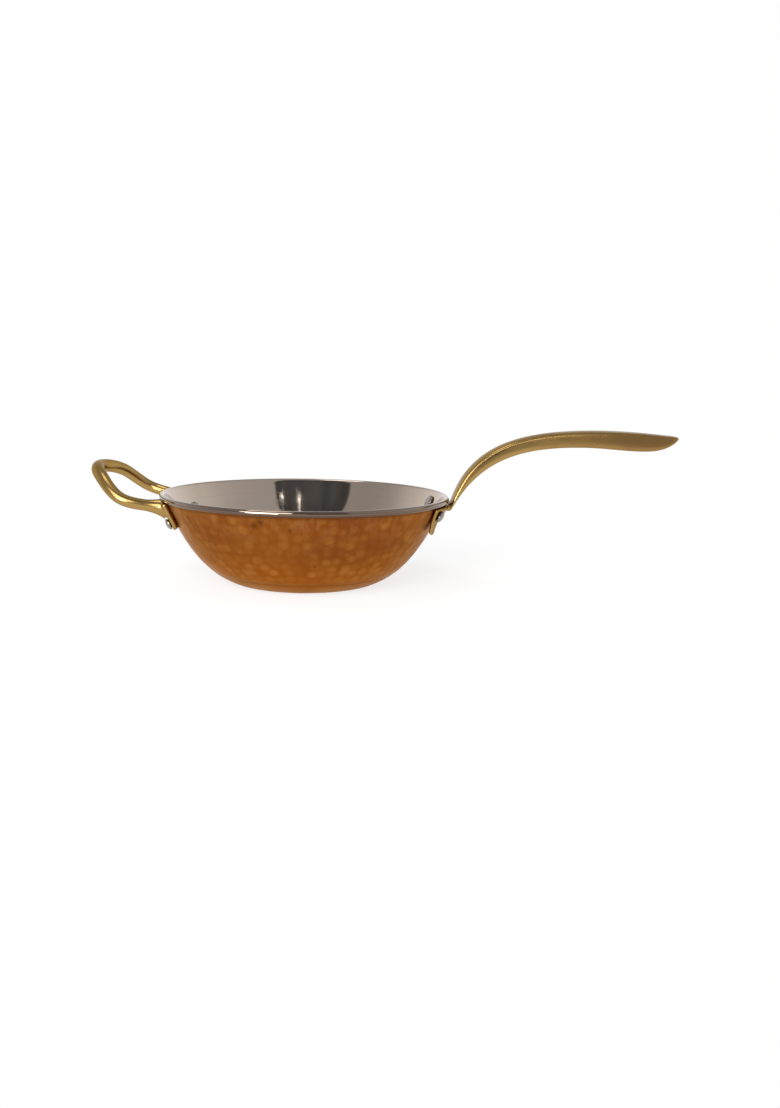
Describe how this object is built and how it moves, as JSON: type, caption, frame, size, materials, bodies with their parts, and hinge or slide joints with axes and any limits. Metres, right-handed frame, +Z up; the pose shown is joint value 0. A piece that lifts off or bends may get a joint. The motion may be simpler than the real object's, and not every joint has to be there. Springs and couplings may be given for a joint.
{
  "type": "tadka pan",
  "caption": "Small hammered copper pan with a polished steel lining rolled over its rim, a long arched brass handle and a brass loop handle, each riveted to the wall, for tempering spices.",
  "frame": {"origin": "centre of the flat underside that the pan rests on, on the bowl's axis", "axes": "+Z up along the bowl's axis, +X along the long handle away from the bowl, so the loop handle is at -X"},
  "size_m": [0.3639, 0.18, 0.0978],
  "materials": {
    "copper": "hand-hammered copper, satin",
    "steel": "polished stainless steel",
    "brass": "polished cast brass",
    "rivet": "plain steel"
  },
  "bodies": {
    "root": {"copper_shell": "copper", "steel_bowl": "steel", "long_handle": "brass", "loop_handle": "brass", "handle_rivet_front": "rivet", "handle_rivet_back": "rivet", "loop_rivet_front": "rivet", "loop_rivet_back": "rivet"}
  },
  "joints": []
}
